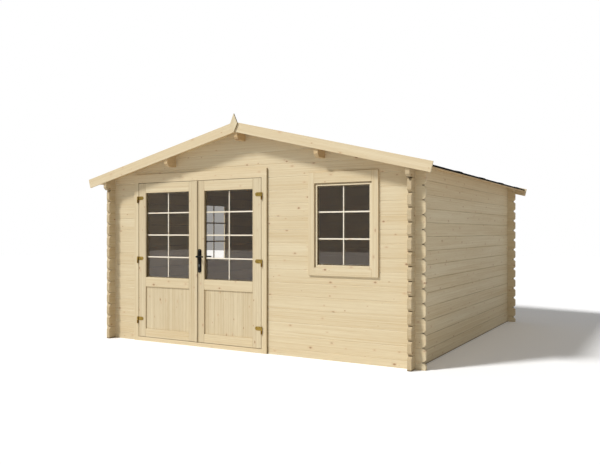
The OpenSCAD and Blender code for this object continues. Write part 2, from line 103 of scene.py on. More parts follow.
def carried(outline, start, stop, across, ease=0.0, plumb=0.0):
    """Outlines, (n, k, 2), carried straight from start to stop. A point is the start, plus its
    share of the length along, plus the outline's two numbers across and through. The first and
    last ring are drawn in by the ease, and plumb slants the first by that much per unit through.
    Returns the points, the blocks of faces, each point's place in the timber, and 1 for each face
    that is a cut end."""
    run = stop - start
    length = np.linalg.norm(run, axis=1)
    along = run / length[:, None]
    through = np.cross(along, across)
    station = np.stack([0 * length, 0 * length + ease, length - ease, length], axis=1)
    reach = np.abs(outline).max(axis=1)
    drawn = 1 - np.array([1, 0, 0, 1])[None, :, None] * ease / reach[:, None, :]
    section = outline[:, None] * drawn[:, :, None, :]
    depth = np.broadcast_to(station[:, :, None], section.shape[:3])
    slant = np.array([1, 1, 0, 0])[None, :, None] * plumb * section[..., 1]
    place = np.stack([depth + slant, section[..., 0], section[..., 1]], axis=-1)
    axes = np.stack([along, across, through], axis=1)
    points = start[:, None, None, :] + np.einsum("nrkc,ncd->nrkd", place, axes)
    blocks = tube_faces(*outline.shape[:2])
    cut = np.repeat([0.0, 1.0], [len(block) for block in blocks])
    return points.reshape(-1, 3), blocks, place, cut


def box_boards(boxes, along, ease):
    """Boards that fill boxes, (n, 2, 3): each runs along its given axis, its wider side is across."""
    boxes = np.asarray(boxes, float)
    along = np.broadcast_to(along, len(boxes))
    row = np.arange(len(boxes))
    size = boxes[:, 1] - boxes[:, 0]
    rest = size.copy()
    rest[row, along] = -1
    across = rest.argmax(axis=1)
    through = 3 - along - across
    middle = boxes.mean(axis=1)
    start, stop = middle.copy(), middle.copy()
    start[row, along] = boxes[row, 0, along]
    stop[row, along] = boxes[row, 1, along]
    half = np.stack([size[row, across], size[row, through]], axis=1) / 2
    return carried(eased_outline(half, ease), start, stop, np.eye(3)[across], ease)


def turned_heads(centre, outward, radius, height):
    """Round heads: a profile of four points, from the rim up to the crown, turned about the outward
    axis in ten steps. Each point is the centre, plus its radius round the axis, plus its height."""
    profile = np.array([[1.0, 0.0], [1.0, 0.35], [0.72, 0.85], [0.12, 1.0]])
    turn = np.radians(np.arange(HEAD_STEPS) * 360 / HEAD_STEPS)
    askew = np.array([0.31, 0.52, 0.79])  # any direction that no head faces
    side = np.cross(outward, askew)
    side /= np.linalg.norm(side, axis=1)[:, None]
    up = np.cross(outward, side)
    round_axis = side[:, None] * np.cos(turn)[:, None] + up[:, None] * np.sin(turn)[:, None]
    points = (centre[:, None, None] + radius * profile[None, :, None, :1] * round_axis[:, None]
              + height * profile[None, :, None, 1:] * outward[:, None, None])
    return points.reshape(-1, 3), tube_faces(len(centre), HEAD_STEPS)


def merged(parts):
    """Points and blocks of faces of several shapes as one, each counting on from those before it."""
    first = np.cumsum([0] + [len(points) for points, _ in parts])
    blocks = [block + start for start, (_, part) in zip(first, parts) for block in part]
    return np.concatenate([points for points, _ in parts]), blocks


def joined(*shapes):
    """Several carried shapes as one."""
    points, blocks = merged([shape[:2] for shape in shapes])
    place, cut = (np.concatenate([shape[i] for shape in shapes]) for i in (2, 3))
    return points, blocks, place, cut


def piece(name, points, blocks, material, body, slot, replaced=()):
    """Puts computed points and blocks of faces into one object that rides on a body."""
    mesh = bpy.data.meshes.new(name)
    mesh.from_pydata(points.tolist(), [], [face for block in blocks for face in block.tolist()])
    mesh.materials.append(material)
    mesh.update()
    made = bpy.data.objects.new(name, mesh)
    bpy.context.scene.collection.objects.link(made)
    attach(made, body)
    if replaced:
        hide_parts(*replaced)
    return made


def timber(name, shape, material, body, slot, replaced=()):
    """A piece of timber that keeps each point's place in its own board: along, across and through,
    moved by a random amount per board so that no two boards show the same grain."""
    points, blocks, place, cut = shape
    made = piece(name, points, blocks, material, body, slot, replaced)
    shift = rng.uniform(GRAIN_FROM, GRAIN_TO, (len(place), 3))
    grain = made.data.attributes.new("grain", "FLOAT_VECTOR", "POINT")
    grain.data.foreach_set("vector", (place + shift[:, None, None, :]).astype(np.float32).ravel())
    ends = made.data.attributes.new("cut_end", "FLOAT", "FACE")
    ends.data.foreach_set("value", cut.astype(np.float32))


# Materials

# Wood colours are pale early wood, darker late wood and knots
SPRUCE = ("#E0D2B1", "#C9B187", "#8C6446")
TRIM_PINE = ("#E5D6B5", "#CEB68C", "#B8976C")
LEAF_PINE = ("#DDCFAF", "#B79F76", "#8A6444")
SASH_PINE = ("#E6DABD", "#D3C09B", "#A07850")
BAR_PINE = ("#F4ECDA", "#E6DABF", "#B08A60")
PURLIN_SPRUCE = ("#D6BE94", "#BC9B6C", "#86603A")
BOARD_SPRUCE = ("#E2C99C", "#CAA671", "#86603A")
# The floor boards are painted lighter than the other spruce, standing in for more light in the room
FLOOR_SPRUCE_PAINTED_LIGHT = ("#EAD8B2", "#D4B98A", "#8C6446")

# Tints that lie over the wood in places, most of them painted light or painted shade, and how much of them
# shows there at most
# Bevels: painted light on the gable logs that lifts the shade of the joint's groove, painted shade on the
# side logs
BEVEL_PAINTED_LIGHT = "#F6EED8"
BEVEL_PAINTED_SHADE = "#826D48"
BEVEL_SHOWS = 0.7
# Painted shade in the nooks between log tips, weaker on the sunny side than on the shaded right side, and as
# a contact shadow at a wall's foot
PAINTED_SHADE_BROWN = "#4A3820"
NOOK_SUNNY, NOOK_SHADED = 0.4, 0.85
FOOT_SHADOW_SHOWS = 0.75
# Painted light on the logs' faces in the room, standing in for more light there
ROOM_PAINTED_LIGHT = "#F2E2B8"
ROOM_SHOWS = 0.5
# Painted shade on the faces of uprights and crosspieces that face along X
SIDE_PAINTED_SHADE = "#8C7242"
SIDE_SHADE_SHOWS = 0.9
KNOT_BLUSH = "#D0AD88"
BLUSH_SHOWS = 0.3
# Darker cut end grain, which is also painted shade on the sides of side logs past the crossing
END_GRAIN_AND_PAINTED_SHADE = "#E5E1DC"

# Where tints start and where they are full: past the crossing of two walls, in it, near a log's tips, on
# the shaded right side, off a log's middle at its bevels and nooks, up from the ground, and off the
# middle of the wall at the room's face
TAIL_FADE = (WALL_FACE - 5 * MM, WALL_FACE + 20 * MM)
CROSSING_FADE = (WALL_FACE - LOG, WALL_FACE)
TIP_FADE = (LOG_TIP - 38 * MM, LOG_TIP - 28 * MM)
RIGHT_FADE = (WALL_FACE - 100 * MM, WALL_FACE - 50 * MM)
BEVEL_FADE = (COURSE / 2 - 2.4 * MM, COURSE / 2 - 1.6 * MM)
NOOK_FADE = (COURSE / 2 - 7 * MM, COURSE / 2 - 3 * MM)
FOOT_FADE = (6 * MM, 18 * MM)
ROOM_FADE = (0.5 * MM - LOG / 2, 1 * MM - LOG / 2)

# Patterns in the wood, along, across and through a board. Knots: one branch in 250 by 143 mm, and its
# size as a share of that. Rings of 3 to 4 mm are drawn 9 mm apart. Each layer of tone has its waves per
# metre across and along the board, and how far it moves the tone: from board to board, streaks 12 mm wide
# and over a metre long, and fibres, drawn 3 mm wide so that they show.
KNOTS_PER_M = (4.0, 7.0, 0)
KNOT_SIZES = (0.014, 0.064)
RING = 9 * MM
SWAY_PER_M = (0.8, 5, 5)
SWAY = 20 * MM
KNOT_PUSH = 6 * MM
TONE_LAYERS = ((6, 0.4, -0.14, 0.2), (80, 0.7, 0.0, 0.38), (330, 9, 0.0, 0.28))
RING_TONE = 0.22
BEVEL_PATCHES_PER_M = 1.8
ACROSS_GRAIN = 0.6


def linear(code):
    """An sRGB hex colour as linear RGBA."""
    value = np.array([int(code[i:i + 2], 16) for i in (1, 3, 5)]) / 255
    value = np.where(value <= 0.04045, value / 12.92, ((value + 0.055) / 1.055) ** 2.4)
    return (*value.tolist(), 1.0)


def add(tree, kind, links=(), **settings):
    """Adds a node with its settings, and links or values on its inputs."""
    made = tree.nodes.new(kind)
    for key, value in settings.items():
        setattr(made, key, value)
    for socket, value in dict(links).items():
        if isinstance(value, bpy.types.NodeSocket):
            tree.links.new(value, made.inputs[socket])
        else:
            made.inputs[socket].default_value = value
    return made


def new_material(name):
    """An empty node material and its tree."""
    material = bpy.data.materials.new(name)
    material.use_nodes = True
    material.node_tree.nodes.clear()
    return material, material.node_tree


def log_grain(tree, axis, shift, end, painted_shade_strength, joint):
    """Place in a log, from Object coordinates: the course is the floor of the height over the course
    height, and a random number per course moves the grain, so every log is a different tree. The last
    2 mm below and above a log are its bevels, which here and there take the joint colour: painted light
    that lifts the shade of the groove on the gable logs, painted shade on the side logs. On a wall with
    painted shade, the sides of the logs past the crossing get painted shade in the end grain's tint, and
    its foot gets a painted contact shadow. The nooks between two ends get painted shade, more of it on the
    shaded right side. The face on the room's side is painted lighter, standing in for more light in the
    room."""
    coords = add(tree, "ShaderNodeTexCoord")
    xyz = add(tree, "ShaderNodeSeparateXYZ", {0: coords.outputs["Object"]})

    # Grain: along the log, up from its middle, and in from the middle of the wall
    row = add(tree, "ShaderNodeMath", {0: xyz.outputs["Z"], 1: 1 / COURSE, 2: shift},
              operation="MULTIPLY_ADD")
    row = add(tree, "ShaderNodeMath", {0: row.outputs[0]}, operation="FLOOR")
    tree_of_log = add(tree, "ShaderNodeTexWhiteNoise", {"W": row.outputs[0]}, noise_dimensions="1D")
    middle = add(tree, "ShaderNodeMath", {0: row.outputs[0], 1: COURSE, 2: (0.5 - shift) * COURSE},
                 operation="MULTIPLY_ADD")
    height = add(tree, "ShaderNodeMath", {0: xyz.outputs["Z"], 1: middle.outputs[0]}, operation="SUBTRACT")
    other = {"X": "Y", "Y": "X"}[axis]
    wall = add(tree, "ShaderNodeMath", {0: xyz.outputs[other]}, operation="SIGN")
    inward = add(tree, "ShaderNodeMath", {0: wall.outputs[0], 1: LOG / 2 - WALL_FACE, 2: xyz.outputs[other]},
                 operation="MULTIPLY_ADD")
    place = add(tree, "ShaderNodeCombineXYZ", {0: xyz.outputs[axis], 1: height.outputs[0],
                2: inward.outputs[0]})
    moved = add(tree, "ShaderNodeVectorMath", {0: tree_of_log.outputs["Color"], 1: GRAIN_TO - GRAIN_FROM,
                2: GRAIN_FROM}, operation="MULTIPLY_ADD")
    grain = add(tree, "ShaderNodeVectorMath", {0: place.outputs[0], 1: moved.outputs[0]})

    # Cut ends, and painted shade on the sides past the crossing
    facing = add(tree, "ShaderNodeSeparateXYZ", {0: coords.outputs["Normal"]})
    cut = add(tree, "ShaderNodeMath", {0: facing.outputs[axis]}, operation="ABSOLUTE")
    cut = add(tree, "ShaderNodeMath", {0: cut.outputs[0], 1: ACROSS_GRAIN}, operation="GREATER_THAN")
    reach = add(tree, "ShaderNodeMath", {0: xyz.outputs[axis]}, operation="ABSOLUTE")
    tail = add(tree, "ShaderNodeMapRange", {"Value": reach.outputs[0], "From Min": TAIL_FADE[0],
               "From Max": TAIL_FADE[1]})
    sealed = add(tree, "ShaderNodeMath", {0: cut.outputs[0], 1: end}, operation="MULTIPLY")
    tail_shade = add(tree, "ShaderNodeMath", {0: tail.outputs[0], 1: painted_shade_strength}, operation="MULTIPLY")
    cut = add(tree, "ShaderNodeMath", {0: sealed.outputs[0], 1: tail_shade.outputs[0]}, operation="MAXIMUM")

    # Bevels: painted light or painted shade in patches along the joints
    bevel_patches = add(tree, "ShaderNodeTexNoise", {"Vector": grain.outputs[0], "Scale": BEVEL_PATCHES_PER_M, "Detail": 2.0})
    bevel_patches = add(tree, "ShaderNodeMapRange", {"Value": bevel_patches.outputs["Fac"], "From Min": 0.35,
                "From Max": 0.65, "To Min": 0.0, "To Max": BEVEL_SHOWS})
    off = add(tree, "ShaderNodeMath", {0: height.outputs[0]}, operation="ABSOLUTE")
    bevel = add(tree, "ShaderNodeMapRange", {"Value": off.outputs[0], "From Min": BEVEL_FADE[0],
                "From Max": BEVEL_FADE[1], "To Min": 0.0, "To Max": bevel_patches.outputs[0]})

    # Painted shade in the nooks between the tips and as a contact shadow at the wall's foot, painted light on
    # the room's side
    shaded_side_strength = add(tree, "ShaderNodeMapRange", {"Value": xyz.outputs["X"], "From Min": RIGHT_FADE[0],
               "From Max": RIGHT_FADE[1], "To Min": NOOK_SUNNY, "To Max": NOOK_SHADED})
    tip = add(tree, "ShaderNodeMapRange", {"Value": reach.outputs[0], "From Min": TIP_FADE[0],
              "From Max": TIP_FADE[1], "To Min": 0.0, "To Max": shaded_side_strength.outputs[0]})
    nook = add(tree, "ShaderNodeMapRange", {"Value": off.outputs[0], "From Min": NOOK_FADE[0],
               "From Max": NOOK_FADE[1], "To Min": 0.0, "To Max": tip.outputs[0]})
    foot = add(tree, "ShaderNodeMapRange", {"Value": xyz.outputs["Z"], "From Min": FOOT_FADE[0],
               "From Max": FOOT_FADE[1], "To Min": FOOT_SHADOW_SHOWS * painted_shade_strength, "To Max": 0.0})
    indoors = add(tree, "ShaderNodeMapRange", {"Value": reach.outputs[0], "From Min": CROSSING_FADE[0],
                  "From Max": CROSSING_FADE[1], "To Min": ROOM_SHOWS, "To Max": 0.0})
    outward = add(tree, "ShaderNodeMath", {0: inward.outputs[0], 1: wall.outputs[0]}, operation="MULTIPLY")
    room = add(tree, "ShaderNodeMapRange", {"Value": outward.outputs[0], "From Min": ROOM_FADE[0],
               "From Max": ROOM_FADE[1], "To Min": indoors.outputs[0], "To Max": 0.0})
    washes = ((bevel.outputs[0], joint), (foot.outputs[0], PAINTED_SHADE_BROWN), (nook.outputs[0], PAINTED_SHADE_BROWN),
              (room.outputs[0], ROOM_PAINTED_LIGHT))
    return grain.outputs[0], cut.outputs[0], washes


def beam_grain(tree, axis, tilt, side_shade=0.0):
    """Place in a single beam, from Object coordinates turned about Y by the tilt. Side shade is how much
    painted shade lies on the faces that face along X, standing in for the shade that falls on and beside
    them."""
    coords = add(tree, "ShaderNodeTexCoord")
    order = {"X": "XZY", "Y": "YZX", "Z": "ZXY"}[axis]
    turned = add(tree, "ShaderNodeMapping", {"Vector": coords.outputs["Object"], "Rotation": (0, tilt, 0)})
    xyz = add(tree, "ShaderNodeSeparateXYZ", {0: turned.outputs[0]})
    grain = add(tree, "ShaderNodeCombineXYZ", {i: xyz.outputs[c] for i, c in enumerate(order)})
    washes = ()
    if side_shade:
        # Painted shade on the faces that face along X
        facing = add(tree, "ShaderNodeSeparateXYZ", {0: coords.outputs["Normal"]})
        edge = add(tree, "ShaderNodeMath", {0: facing.outputs["X"]}, operation="ABSOLUTE")
        edge = add(tree, "ShaderNodeMath", {0: edge.outputs[0], 1: ACROSS_GRAIN}, operation="GREATER_THAN")
        edge = add(tree, "ShaderNodeMath", {0: edge.outputs[0], 1: side_shade}, operation="MULTIPLY")
        washes = ((edge.outputs[0], SIDE_PAINTED_SHADE),)
    return grain.outputs[0], 0.0, washes


def board_grain(tree):
    """Place in a board, from the piece's own attributes."""
    grain = add(tree, "ShaderNodeAttribute", attribute_name="grain")
    cut = add(tree, "ShaderNodeAttribute", attribute_name="cut_end")
    return grain.outputs["Vector"], cut.outputs["Fac"], ()


def planed_softwood(name, early, late, knot, source, *where):
    """Planed spruce or pine: growth rings round a pith that runs along the board give faint bands on
    its faces and arcs on its ends, fibres give fine straight streaks, and branches give small reddish
    knots, some of them only a shade. The rings are drawn wider apart than they grow, because finer ones
    don't show at this distance."""
    material, tree = new_material(name)
    grain, cut, washes = source(tree, *where)

    # Knots: each cell has a branch of 2 to 11 mm in radius, and a blush round it
    cells = add(tree, "ShaderNodeVectorMath", {0: grain, 1: KNOTS_PER_M}, operation="MULTIPLY")
    branch = add(tree, "ShaderNodeTexVoronoi", {"Vector": cells.outputs[0], "Scale": 1.0},
                 voronoi_dimensions="2D")
    luck = add(tree, "ShaderNodeSeparateXYZ", {0: branch.outputs["Color"]})
    size = add(tree, "ShaderNodeMapRange", {"Value": luck.outputs["X"], "From Min": 0.25, "From Max": 1.0,
               "To Min": KNOT_SIZES[0], "To Max": KNOT_SIZES[1]})
    core = add(tree, "ShaderNodeMath", {0: branch.outputs["Distance"], 1: size.outputs[0]},
               operation="DIVIDE")
    depth = add(tree, "ShaderNodeMapRange", {"Value": luck.outputs["Y"], "To Min": 0.15, "To Max": 0.8})
    inside = add(tree, "ShaderNodeMapRange", {"Value": core.outputs[0], "From Min": 0.55, "From Max": 1.25,
                 "To Min": depth.outputs[0], "To Max": 0.0})
    halo = add(tree, "ShaderNodeMapRange", {"Value": core.outputs[0], "From Min": 0.8, "From Max": 3.0,
               "To Min": 1.0, "To Max": 0.0}, interpolation_type="SMOOTHSTEP")

    # Rings: distance from the pith, bent by slow noise along the board and round the knots
    slow = add(tree, "ShaderNodeVectorMath", {0: grain, 1: SWAY_PER_M}, operation="MULTIPLY")
    sway = add(tree, "ShaderNodeTexNoise", {"Vector": slow.outputs[0], "Scale": 1.0, "Detail": 2.0})
    bend = add(tree, "ShaderNodeVectorMath", {0: sway.outputs["Color"], 1: (0, SWAY, SWAY), 2: grain},
               operation="MULTIPLY_ADD")
    radial = add(tree, "ShaderNodeVectorMath", {0: bend.outputs[0], 1: (0, 1, 1)}, operation="MULTIPLY")
    radius = add(tree, "ShaderNodeVectorMath", {0: radial.outputs[0]}, operation="LENGTH")
    pushed = add(tree, "ShaderNodeMath", {0: halo.outputs[0], 1: KNOT_PUSH, 2: radius.outputs["Value"]},
                 operation="MULTIPLY_ADD")
    rings = add(tree, "ShaderNodeMath", {0: pushed.outputs[0], 1: 1 / RING}, operation="MULTIPLY")
    rings = add(tree, "ShaderNodeMath", {0: rings.outputs[0]}, operation="FRACT")
    band = add(tree, "ShaderNodeValToRGB", {0: rings.outputs[0]})
    stops = band.color_ramp.elements
    for position, shade in ((0.55, 0.25), (0.88, 1.0)):
        stops.new(position).color = (shade, shade, shade, 1)
    stops[-1].color = stops[0].color

    # Tone, from early to late wood
    share = 0.0
    for across, along, low, high in TONE_LAYERS:
        place = add(tree, "ShaderNodeVectorMath", {0: grain, 1: (along, across, across)},
                    operation="MULTIPLY")
        noise = add(tree, "ShaderNodeTexNoise", {"Vector": place.outputs[0], "Scale": 1.0, "Detail": 2.0})
        part = add(tree, "ShaderNodeMapRange", {"Value": noise.outputs["Fac"], "From Min": 0.3,
                   "From Max": 0.7, "To Min": low, "To Max": high})
        share = add(tree, "ShaderNodeMath", {0: part.outputs[0], 1: share}).outputs[0]
    share = add(tree, "ShaderNodeMath", {0: band.outputs[0], 1: RING_TONE, 2: share},
                operation="MULTIPLY_ADD")
    wood = add(tree, "ShaderNodeMix", {0: share.outputs[0], 6: linear(early), 7: linear(late)},
               data_type="RGBA")
    warm = add(tree, "ShaderNodeMath", {0: halo.outputs[0], 1: BLUSH_SHOWS}, operation="MULTIPLY")
    # The knots' blush and cores, then the source's tints, which on logs and beams are painted light and
    # painted shade
    for part, tint in ((warm.outputs[0], KNOT_BLUSH), (inside.outputs[0], knot), *washes):
        wood = add(tree, "ShaderNodeMix", {0: part, 6: wood.outputs[2], 7: linear(tint)}, data_type="RGBA")
    # Cut end grain is darker; on logs this also lays painted shade on the sides past the crossing
    wood = add(tree, "ShaderNodeMix", {0: cut, 6: wood.outputs[2], 7: linear(END_GRAIN_AND_PAINTED_SHADE)}, data_type="RGBA",
               blend_type="MULTIPLY")

    height = add(tree, "ShaderNodeMath", {0: share.outputs[0], 1: inside.outputs[0]})
    bump = add(tree, "ShaderNodeBump", {"Height": height.outputs[0], "Strength": 0.25, "Distance": 0.6 * MM})
    rough = add(tree, "ShaderNodeMapRange", {"Value": share.outputs[0], "To Min": 0.55, "To Max": 0.7})
    surface = add(tree, "ShaderNodeBsdfPrincipled", {"Base Color": wood.outputs[2],
                  "Roughness": rough.outputs[0], "Normal": bump.outputs[0], "Specular IOR Level": 0.3})
    add(tree, "ShaderNodeOutputMaterial", {"Surface": surface.outputs[0]})
    return material


def float_glass(name):
    """Float glass 4 mm thick: clear, with a mirror-like face that reflects a shade warm."""
    material, tree = new_material(name)
    surface = add(tree, "ShaderNodeBsdfPrincipled", {"Base Color": linear("#FDFBF8"), "Roughness": 0.0,
                  "Transmission Weight": 1.0, "IOR": 1.53, "Specular Tint": linear("#FFF6F0")})
    add(tree, "ShaderNodeOutputMaterial", {"Surface": surface.outputs[0]})
    return material


def mineral_felt(name):
    """Bitumen felt pressed with slate grit: near black and matt, with a faint sparkle of lighter grains
    on its upper face, faded in clouds of 200 mm, and bare at its hems. Grit of 1 mm is drawn at 4 mm so
    that it shows."""
    material, tree = new_material(name)
    coords = add(tree, "ShaderNodeTexCoord")
    grit = add(tree, "ShaderNodeTexVoronoi", {"Vector": coords.outputs["Object"], "Scale": 1 / (4 * MM)})
    cloud = add(tree, "ShaderNodeTexNoise", {"Vector": coords.outputs["Object"], "Scale": 1 / (200 * MM),
                "Detail": 4.0})
    grain = add(tree, "ShaderNodeSeparateXYZ", {0: grit.outputs["Color"]})
    facing = add(tree, "ShaderNodeSeparateXYZ", {0: coords.outputs["Normal"]})
    gritted = add(tree, "ShaderNodeMapRange", {"Value": facing.outputs["Z"], "From Min": 0.94,
                  "From Max": 0.965})
    pale = add(tree, "ShaderNodeMapRange", {"Value": grain.outputs["X"], "From Min": 0.3, "From Max": 1.0,
               "To Min": 0.15, "To Max": 1.0})
    faded = add(tree, "ShaderNodeMath", {0: pale.outputs[0], 1: cloud.outputs["Fac"]}, operation="MULTIPLY")
    faded = add(tree, "ShaderNodeMath", {0: faded.outputs[0], 1: gritted.outputs[0]}, operation="MULTIPLY")
    colour = add(tree, "ShaderNodeMix", {0: faded.outputs[0], 6: linear("#0A0806"), 7: linear("#53514D")},
                 data_type="RGBA")
    bump = add(tree, "ShaderNodeBump", {"Height": grit.outputs["Distance"], "Strength": 0.5,
               "Distance": 1.5 * MM})
    surface = add(tree, "ShaderNodeBsdfPrincipled", {"Base Color": colour.outputs[2], "Roughness": 0.9,
                  "Normal": bump.outputs[0], "Specular IOR Level": 0.05})
    add(tree, "ShaderNodeOutputMaterial", {"Surface": surface.outputs[0]})
    return material


def rolled_brass(name, bright, dark):
    """Brass-plated steel, drawn and tumbled: warm yellow with marks of about 1 mm and dull patches of
    about 17 mm, which are 900 and 60 to the metre."""
    material, tree = new_material(name)
    coords = add(tree, "ShaderNodeTexCoord")
    dull = add(tree, "ShaderNodeTexNoise", {"Vector": coords.outputs["Object"], "Scale": 60.0,
               "Detail": 3.0})
    marks = add(tree, "ShaderNodeTexNoise", {"Vector": coords.outputs["Object"], "Scale": 900.0,
                "Detail": 1.0})
    colour = add(tree, "ShaderNodeMix", {0: dull.outputs["Fac"], 6: linear(bright), 7: linear(dark)},
                 data_type="RGBA")
    rough = add(tree, "ShaderNodeMapRange", {"Value": dull.outputs["Fac"], "To Min": 0.28, "To Max": 0.5})
    bump = add(tree, "ShaderNodeBump", {"Height": marks.outputs["Fac"], "Strength": 0.15,
               "Distance": 0.2 * MM})
    surface = add(tree, "ShaderNodeBsdfPrincipled", {"Base Color": colour.outputs[2], "Metallic": 1.0,
                  "Roughness": rough.outputs[0], "Normal": bump.outputs[0]})
    add(tree, "ShaderNodeOutputMaterial", {"Surface": surface.outputs[0]})
    return material


def moulded_rubber(name):
    """Brown rubber seal, moulded: matt and dark, a little dusty on top. Dust of under 1 mm is drawn at
    3 mm. Round a pane it also stands in for the shade in the glass's rebate."""
    material, tree = new_material(name)
    coords = add(tree, "ShaderNodeTexCoord")
    dust = add(tree, "ShaderNodeTexNoise", {"Vector": coords.outputs["Object"], "Scale": 1 / (3 * MM),
               "Detail": 2.0})
    colour = add(tree, "ShaderNodeMix", {0: dust.outputs["Fac"], 6: linear("#5F4C28"), 7: linear("#7A663F")},
                 data_type="RGBA")
    surface = add(tree, "ShaderNodeBsdfPrincipled", {"Base Color": colour.outputs[2], "Roughness": 0.8,
                  "Specular IOR Level": 0.2})
    add(tree, "ShaderNodeOutputMaterial", {"Surface": surface.outputs[0]})
    return material


def powder_coat(name):
    """Steel with baked black powder coat: a satin skin with an orange-peel texture of 2 mm, rubbed in
    places of about 33 mm, which are 30 to the metre."""
    material, tree = new_material(name)
    coords = add(tree, "ShaderNodeTexCoord")
    peel = add(tree, "ShaderNodeTexNoise", {"Vector": coords.outputs["Object"], "Scale": 1 / (2 * MM),
               "Detail": 2.0})
    rub = add(tree, "ShaderNodeTexNoise", {"Vector": coords.outputs["Object"], "Scale": 30.0,
              "Detail": 3.0})
    colour = add(tree, "ShaderNodeMix", {0: rub.outputs["Fac"], 6: linear("#070605"), 7: linear("#0F0D0C")},
                 data_type="RGBA")
    rough = add(tree, "ShaderNodeMapRange", {"Value": rub.outputs["Fac"], "To Min": 0.35, "To Max": 0.55})
    bump = add(tree, "ShaderNodeBump", {"Height": peel.outputs["Fac"], "Strength": 0.2,
               "Distance": 0.3 * MM})
    surface = add(tree, "ShaderNodeBsdfPrincipled", {"Base Color": colour.outputs[2],
                  "Roughness": rough.outputs[0], "Normal": bump.outputs[0], "Specular IOR Level": 0.11})
    add(tree, "ShaderNodeOutputMaterial", {"Surface": surface.outputs[0]})
    return material


def galvanised(name):
    """Zinc-coated nail heads: pale grey metal with a dull bloom in spots of 2.5 mm."""
    material, tree = new_material(name)
    coords = add(tree, "ShaderNodeTexCoord")
    bloom = add(tree, "ShaderNodeTexNoise", {"Vector": coords.outputs["Object"], "Scale": 1 / (2.5 * MM),
                "Detail": 2.0})
    colour = add(tree, "ShaderNodeMix", {0: bloom.outputs["Fac"], 6: linear("#8F9090"),
                 7: linear("#6E6C68")}, data_type="RGBA")
    surface = add(tree, "ShaderNodeBsdfPrincipled", {"Base Color": colour.outputs[2], "Metallic": 1.0,
                  "Roughness": 0.45})
    add(tree, "ShaderNodeOutputMaterial", {"Surface": surface.outputs[0]})
    return material


# A log material takes the logs' direction, the share of a course that the wall starts with, how much
# its cut ends are darkened, how strong its painted shade is past the crossing and at its foot, and the
# painted light or painted shade of its bevels
gable_logs = planed_softwood("planed_spruce_gable_logs", *SPRUCE, log_grain, "X", 0.5, 0.2, 0.0, BEVEL_PAINTED_LIGHT)
side_logs = planed_softwood("planed_spruce_side_logs", *SPRUCE, log_grain, "Y", 0.0, 1.0, 0.8, BEVEL_PAINTED_SHADE)
leaf_wood = planed_softwood("planed_pine_leaves", *LEAF_PINE, board_grain)
sash_wood = planed_softwood("planed_pine_sashes", *SASH_PINE, board_grain)
bar_wood = planed_softwood("pale_pine_bars", *BAR_PINE, board_grain)
casing_wood = planed_softwood("planed_pine_casings", *SPRUCE, board_grain)
# Uprights and crosspieces carry painted shade on their faces that face along X
upright_wood = planed_softwood("planed_pine_uprights", *SPRUCE, beam_grain, "Z", 0.0, SIDE_SHADE_SHOWS)
level_wood = planed_softwood("planed_pine_crosspieces", *TRIM_PINE, beam_grain, "X", 0.0, SIDE_SHADE_SHOWS)
board_wood = planed_softwood("planed_spruce_roof_boards", *BOARD_SPRUCE, board_grain)
floor_wood = planed_softwood("planed_spruce_floor_boards", *FLOOR_SPRUCE_PAINTED_LIGHT, board_grain)
beam_wood = planed_softwood("planed_spruce_purlins", *PURLIN_SPRUCE, beam_grain, "Y", 0.0)
bearer_wood = planed_softwood("sawn_spruce_bearers", *BOARD_SPRUCE, beam_grain, "X", 0.0)
fascia_down_right = planed_softwood("planed_spruce_fascia_right", *TRIM_PINE, beam_grain, "X", -PITCH)
fascia_down_left = planed_softwood("planed_spruce_fascia_left", *TRIM_PINE, beam_grain, "X", PITCH)
glass = float_glass("float_glass")
felt = mineral_felt("mineral_bitumen_felt")
brass = rolled_brass("rolled_brass", "#CFAF5C", "#6E5828")
# The hinge pins are a darker copy of the brass, standing in for their shade and dark reflections
dark_brass = rolled_brass("pin_brass_painted_shade", "#9A7018", "#4A340A")
iron = powder_coat("black_powder_coated_steel")
zinc = galvanised("galvanised_nails")
# The dark seal round each pane also stands in for the shade in the glass's rebate
rubber = moulded_rubber("dark_seal_and_rebate_shade")

FINISH = {
    gable_logs: ["front_wall_left", "front_wall_lower", "front_wall_middle", "front_wall_right",
                 "front_gable", "back_wall"],
    side_logs: ["right_wall", "left_wall_lower", "left_wall_front", "left_wall_rear", "left_wall_top"],
    beam_wood: ["ridge_purlin", "side_purlins"],
    bearer_wood: ["floor_bearers"],
    fascia_down_right: ["front_fascia_right", "back_fascia_right"],
    fascia_down_left: ["front_fascia_left", "back_fascia_left"],
    upright_wood: ["door_jamb_left", "door_jamb_right", "finials"],
    level_wood: ["door_header", "door_sill"],
    glass: ["left_door_glass", "right_door_glass", "front_window_glass", "left_window_glass"],
    brass: ["left_door_straps", "right_door_straps"],
    dark_brass: ["hinge_pins"],
    iron: ["handle_plates", "handle_lever"],
}
for finish, names in FINISH.items():
    for name in names:
        nodes[name].data.materials.clear()
        nodes[name].data.materials.append(finish)


# Glazing

BEAD = 9 * MM
UPRIGHT_BAR_W = 11 * MM
UPRIGHT_BAR_T = 6 * MM
LEVEL_BAR_W = 14 * MM
LEVEL_BAR_T = 3.5 * MM
ROOM_BAR_T = 4 * MM
BAR_EASE = 1.2 * MM
SEAL_W = 5 * MM


def facing_box(across_axis, depth_axis, a, d, z):
    """A box from its two ends across a wall, through it and up, as lowest and highest corner."""
    corners = np.zeros((2, 3))
    corners[:, across_axis] = a
    corners[:, depth_axis] = d
    corners[:, Z] = z
    return corners


def frame_boards(ups, levels, axes, ease):
    """Upright and level boxes as boards of one frame."""
    return joined(box_boards(ups, Z, ease), box_boards(levels, axes[0], ease))


def bar_middles(low, high, panes, width):
    """Middles of bars of the given width that leave equal panes between low and high."""
    pane = (high - low - (panes - 1) * width) / panes
    return low + np.arange(1, panes) * (pane + width) - width / 2


